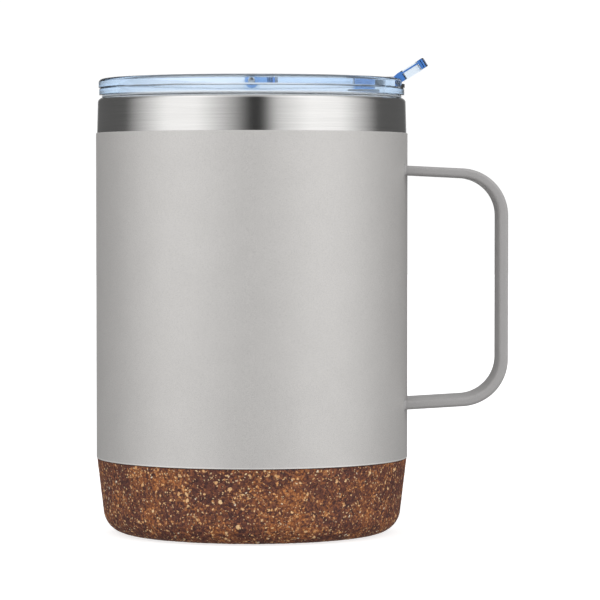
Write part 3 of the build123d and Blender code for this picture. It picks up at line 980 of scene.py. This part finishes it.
def make_tab():
    half = tab_high.y
    along = Vector((math.cos(PADDLE_SLOPE), 0, math.sin(PADDLE_SLOPE)))
    out = Vector((-math.sin(PADDLE_SLOPE), 0, math.cos(PADDLE_SLOPE)))
    start = Vector((PADDLE_START, 0, TAB_BOTTOM))

    def on_paddle(length, height):
        point = start + along * length + out * height
        return (point.x, point.z)

    side = rounded(
        [
            (0, TAB_BOTTOM),
            (PADDLE_START, TAB_BOTTOM),
            on_paddle(PADDLE_LENGTH, 0),
            on_paddle(PADDLE_LENGTH, PADDLE_THICKNESS),
            on_paddle(2.0, PADDLE_THICKNESS),
            (PADDLE_START - 0.8, TAB_TOP),
            (0, TAB_TOP),
        ],
        [0, 0.2, 0.5, 0.9, 0.4, 0.3, 0],
        6,
    )
    piece = prism("flip_lever", side, SIDE, 2 * half)

    # Thumb end, bowed outwards and square to the paddle.
    reach = PADDLE_LENGTH
    bow_radius = (half**2 + END_BULGE**2) / (2 * END_BULGE)
    bow = []
    for k in range(25):
        across = half - 2 * half * k / 24
        bow.append((reach - bow_radius + math.sqrt(bow_radius**2 - across**2), across))
    corner = reach - END_BULGE
    thumb = [(-90, half + 1), (corner, half + 1), *bow, (corner, -half - 1), (-90, -half - 1)]
    combine(piece, [prism("thumb", thumb, (start, along, Y), 200)], "INTERSECT")

    # From above: a tongue between the ears, then an arm that widens to the paddle.
    plan = rounded(
        [
            (-1, -BARREL_HALF),
            (TONGUE, -BARREL_HALF),
            (TONGUE + 0.8, -ROOT_HALF),
            (PADDLE_START - 4, -half),
            (90, -half - 0.01),
            (90, half + 0.01),
            (PADDLE_START - 4, half),
            (TONGUE + 0.8, ROOT_HALF),
            (TONGUE, BARREL_HALF),
            (-1, BARREL_HALF),
        ],
        [0, 0.3, 1.2, 2, 0, 0, 2, 1.2, 0.3, 0],
        6,
    )
    combine(piece, [prism("plan", plan, (Vector((0, 0, TAB_TOP)), X, Y), 40)], "INTERSECT")

    hollow_top = TAB_TOP - TAB_WEB
    hollow = rounded(
        [
            (TONGUE + 2, -ROOT_HALF + TAB_RAIL),
            (HOLLOW_END, -half + TAB_RAIL),
            (HOLLOW_END, half - TAB_RAIL),
            (TONGUE + 2, ROOT_HALF - TAB_RAIL),
        ],
        [1] * 4,
        6,
    )
    hollow_depth = 6
    hollow_plane = (Vector((0, 0, hollow_top - hollow_depth / 2)), X, Y)
    dish_length = PADDLE_LENGTH - END_BULGE - END_WALL - PADDLE_BEND
    dish_half = half - TAB_RAIL
    dish = rounded(
        [
            (PADDLE_BEND, -dish_half),
            (PADDLE_BEND + dish_length, -dish_half),
            (PADDLE_BEND + dish_length, dish_half),
            (PADDLE_BEND, dish_half),
        ],
        [0.6] * 4,
        6,
    )
    dish_depth = 4
    top_place = start + out * (PADDLE_THICKNESS - TOP_DISH + dish_depth / 2)
    low_place = start + out * (LOW_DISH - dish_depth / 2)
    combine(
        piece,
        [
            prism("hollow", hollow, hollow_plane, hollow_depth),
            prism("thumb_pad", dish, (top_place, along, Y), dish_depth),
            prism("thumb_relief", dish, (low_place, along, Y), dish_depth),
        ],
    )
    sip_x = (plug_low.x + plug_high.x) / 2
    stud_length, stud_width, stud_depth = STUD
    boss_place = Vector((sip_x, 0, (hollow_top + BOSS_BOTTOM) / 2 + 0.1))
    boss = prism("boss", slot_outline(*BOSS), (boss_place, X, Y), hollow_top - BOSS_BOTTOM + 0.2)
    stud_place = Vector((sip_x, 0, BOSS_BOTTOM - stud_depth / 2 + 0.1))
    stud_shape = slot_outline(stud_length, stud_width)
    stud = prism("stud", stud_shape, (stud_place, X, Y), stud_depth + 0.2)
    barrel = prism("barrel", circle(BARREL_RADIUS, (0, pin_height), 48), SIDE, 2 * BARREL_HALF)
    combine(piece, [boss, stud, barrel], "UNION")
    bore = prism("bore", circle(pin_radius + PIN_PLAY, (0, pin_height), 40), SIDE, 4 * BARREL_HALF)
    combine(piece, [bore])
    soften(piece, TAB_BEVEL)
    mount(piece, tab_plastic, "tab", "clear_plastic", "flip_tab")


PLUG_PLAY = 0.4
PLUG_TAPER = math.radians(10)
PLUG_FLANGE = (14.0, 8.6)


def make_plug():
    """Silicone plug in one skin of slot rings: flange, and tapered insert with a rounded nose."""
    length, width = SIP_SIZE
    flange_low = DECK[1] + 0.1
    flange_high = BOSS_BOTTOM
    insert = (length - 2 * PLUG_PLAY, width - 2 * PLUG_PLAY)
    depth = flange_low - plug_low.z
    shrink = 2 * depth * math.tan(PLUG_TAPER)
    stud_length, stud_width, stud_depth = STUD
    # Each level is a slot's size, how much smaller it is made, and its height.
    levels = [
        ((stud_length, stud_width), 0, flange_high - stud_depth),
        ((stud_length, stud_width), 0, flange_high),
        (PLUG_FLANGE, 0.4, flange_high),
        (PLUG_FLANGE, 0.1, flange_high - 0.1),
        (PLUG_FLANGE, 0, flange_high - 0.3),
        (PLUG_FLANGE, 0, flange_low + 0.3),
        (PLUG_FLANGE, 0.1, flange_low + 0.1),
        (PLUG_FLANGE, 0.4, flange_low),
        (insert, -0.3, flange_low),
        (insert, 0, flange_low - 0.15),
        (insert, shrink * 0.8, plug_low.z + 0.3),
        (insert, shrink + 0.15, plug_low.z + 0.08),
        (insert, shrink + 0.5, plug_low.z),
    ]
    centre = (plug_low.x + plug_high.x) / 2
    made = bmesh.new()
    rings = []
    for (long, wide), less, height in levels:
        rings.append(
            [
                made.verts.new(((centre + u) * MM, v * MM, height * MM))
                for u, v in slot_outline(long - less, wide - less)
            ]
        )
    bridge(made, rings)
    piece = finish_mesh("sip_stopper", made, 40)
    mount(piece, silicone, "tab", "silicone", "sip_plug")


# --- Studio ---------------------------------------------------------------------------------------

CAMERA_DISTANCE = 0.881
CAMERA_HEIGHT = 0.092
CAMERA_ASIDE = 0.0133
CAMERA_TILT = math.radians(1.82)
CAMERA_LENS = 191.0
FLOOR_RADIUS = 3.0
SIDE_LIGHT = 1.45
GAP_LIGHT = 0.0
BACK_LIGHT = 0.13
WHITE_LIGHT = 1.0
CEILING_LIGHT = 0.7
FLOOR_LIGHT = 0.2


def make_camera():
    data = bpy.data.cameras.new("camera")
    data.lens = CAMERA_LENS
    data.sensor_width = 36.0
    data.clip_start = 0.01
    data.clip_end = 20.0
    camera = bpy.data.objects.new("camera", data)
    camera.location = (CAMERA_ASIDE, -CAMERA_DISTANCE, CAMERA_HEIGHT)
    camera.rotation_euler = (math.pi / 2 - CAMERA_TILT, 0, 0)
    bpy.context.scene.collection.objects.link(camera)
    bpy.context.scene.camera = camera


def glow_material(name, strength):
    """Plain white glow, left out of light sampling."""
    nodes = Nodes(name)
    nodes.tree.nodes.remove(nodes.shader)
    glow = nodes.add("ShaderNodeEmission")
    glow.inputs["Strength"].default_value = strength
    nodes.link(glow.outputs[0], nodes.output.inputs["Surface"])
    nodes.owner.cycles.emission_sampling = "NONE"
    return nodes.owner


def floor_material():
    """Pale paper sweep that glows a little, so it stays near white under soft light."""
    nodes = Nodes("paper")
    fibre = nodes.noise(nodes.place(), 0.4, 3.0).outputs["Fac"]
    nodes.use(Base_Color=nodes.ramp(fibre, [(0.3, grey(0.58)), (0.7, grey(0.60))]))
    nodes.set(Roughness=0.9, Specular_IOR_Level=0.0)
    nodes.set(Emission_Color=(1, 1, 1, 1), Emission_Strength=0.75)
    nodes.owner.cycles.emission_sampling = "NONE"
    return nodes.owner


def around(degrees):
    """Place on a ramp once round the mug, from behind it; 0 is the camera's side, + its right."""
    return degrees / 360 + 0.5


def rise(degrees):
    """Place on a ramp that runs from straight down to straight up."""
    return degrees / 180 + 0.5


def make_light():
    """Soft lights left and right of the camera and behind the mug, a ceiling and a dim bounce."""
    nodes = Nodes("studio_light", world=True)
    coordinates = nodes.add("ShaderNodeTexCoord")
    way = nodes.split(coordinates.outputs["Generated"], "ShaderNodeSeparateXYZ")
    turn = nodes.math("ARCTAN2", way["X"], nodes.math("MULTIPLY", way["Y"], -1.0))
    turn = nodes.math("ADD", nodes.math("DIVIDE", turn, TAU), 0.5)
    climb = nodes.math("DIVIDE", nodes.math("ARCSINE", way["Z"]), math.pi)
    height = nodes.math("ADD", climb, 0.5)
    walls = nodes.ramp(
        turn,
        [
            (around(-180), grey(WHITE_LIGHT)),
            (around(-174), grey(WHITE_LIGHT)),
            (around(-165), grey(BACK_LIGHT)),
            (around(-106), grey(BACK_LIGHT)),
            (around(-66), grey(SIDE_LIGHT)),
            (around(-40), grey(SIDE_LIGHT)),
            (around(-14), grey(SIDE_LIGHT * 0.42)),
            (around(0), grey(GAP_LIGHT)),
            (around(9), grey(GAP_LIGHT)),
            (around(19), grey(SIDE_LIGHT * 0.62)),
            (around(44), grey(SIDE_LIGHT * 1.05)),
            (around(70), grey(SIDE_LIGHT)),
            (around(108), grey(BACK_LIGHT)),
            (around(165), grey(BACK_LIGHT)),
            (around(174), grey(WHITE_LIGHT)),
            (around(180), grey(WHITE_LIGHT)),
        ],
    )
    reach = nodes.ramp(
        height,
        [
            (rise(-40), grey(0.0)),
            (rise(-14), grey(1.0)),
            (rise(42), grey(1.0)),
            (rise(68), grey(0.0)),
        ],
    )
    ends = nodes.ramp(
        height,
        [
            (rise(-90), grey(FLOOR_LIGHT)),
            (rise(-25), grey(FLOOR_LIGHT)),
            (rise(-5), grey(0.0)),
            (rise(28), grey(0.0)),
            (rise(55), grey(CEILING_LIGHT)),
            (rise(90), grey(CEILING_LIGHT)),
        ],
    )
    sides = nodes.mix(1.0, walls, reach, "MULTIPLY")
    light = nodes.mix(1.0, sides, ends, "ADD")
    nodes.link(light, nodes.shader.inputs["Color"])
    bpy.context.scene.world = nodes.owner


def make_studio():
    made = bmesh.new()
    bmesh.ops.create_circle(made, cap_ends=True, radius=FLOOR_RADIUS, segments=128)
    bmesh.ops.translate(made, verts=made.verts, vec=(0, 0, -0.0002))
    floor = finish_mesh("floor", made)
    if floor.data.polygons[0].normal.z < 0:
        floor.data.flip_normals()
    dress(floor, floor_material())
    floor.visible_diffuse = False
    floor.visible_glossy = False
    floor.visible_shadow = False

    made = bmesh.new()
    bmesh.ops.create_uvsphere(made, u_segments=96, v_segments=48, radius=FLOOR_RADIUS)
    backdrop = finish_mesh("backdrop", made)
    dress(backdrop, glow_material("backdrop_glow", 1.05))
    backdrop.visible_diffuse = False
    backdrop.visible_glossy = False
    backdrop.visible_shadow = False

    scene = bpy.context.scene
    scene.view_settings.view_transform = "Standard"
    scene.cycles.max_bounces = 32
    scene.cycles.transmission_bounces = 32


make_camera()
make_shell()
make_liner()
make_coat()
make_cork()
make_strap()
make_beads()
make_lid()
make_pin()
make_ring()
make_tab()
make_plug()
make_light()
make_studio()
